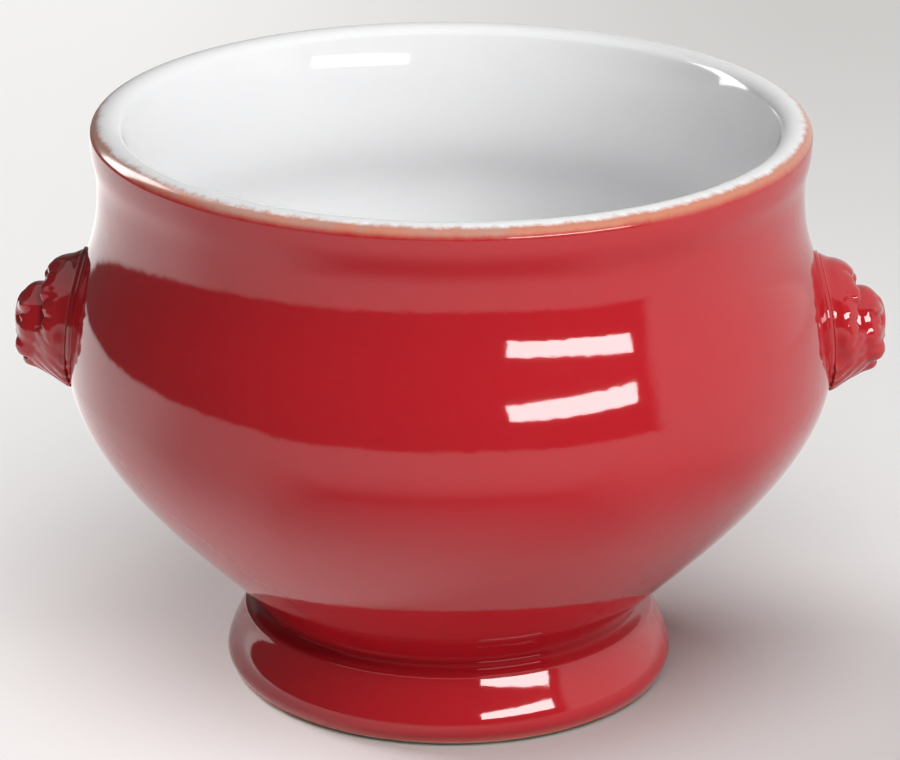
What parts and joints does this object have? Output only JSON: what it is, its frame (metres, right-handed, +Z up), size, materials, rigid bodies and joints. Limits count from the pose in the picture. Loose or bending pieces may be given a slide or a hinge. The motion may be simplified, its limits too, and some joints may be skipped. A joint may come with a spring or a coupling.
{
  "type": "onion soup crock",
  "caption": "Round-bellied footed soup crock with a rolled rim, a turned pedestal foot and moulded lion-head lugs, glazed red outside and white inside.",
  "frame": {"origin": "centre of the foot ring at the level it stands on", "axes": "+Z up along the axis of the bowl, +X out through the right lion head, +Y away from the viewer"},
  "size_m": [0.1472, 0.1288, 0.098],
  "materials": {
    "stoneware": "bare buff stoneware, matt",
    "white_glaze": "glossy cool white liner glaze",
    "red_glaze": "glossy cherry red glaze",
    "red_glazed_slip": "slip bead under the red glaze, glossy",
    "red_glazed_relief": "moulded relief under the red glaze, glossy"
  },
  "bodies": {
    "root": {"bowl_wall": "stoneware", "pedestal_foot": "stoneware", "foot_luting_slip": "stoneware", "inner_white_glaze": "white_glaze", "outer_red_glaze": "red_glaze", "foot_red_glaze": "red_glaze", "right_luting_slip": "red_glazed_slip", "left_luting_slip": "red_glazed_slip", "lion_head_right": "red_glazed_relief", "lion_head_left": "red_glazed_relief"}
  },
  "joints": []
}
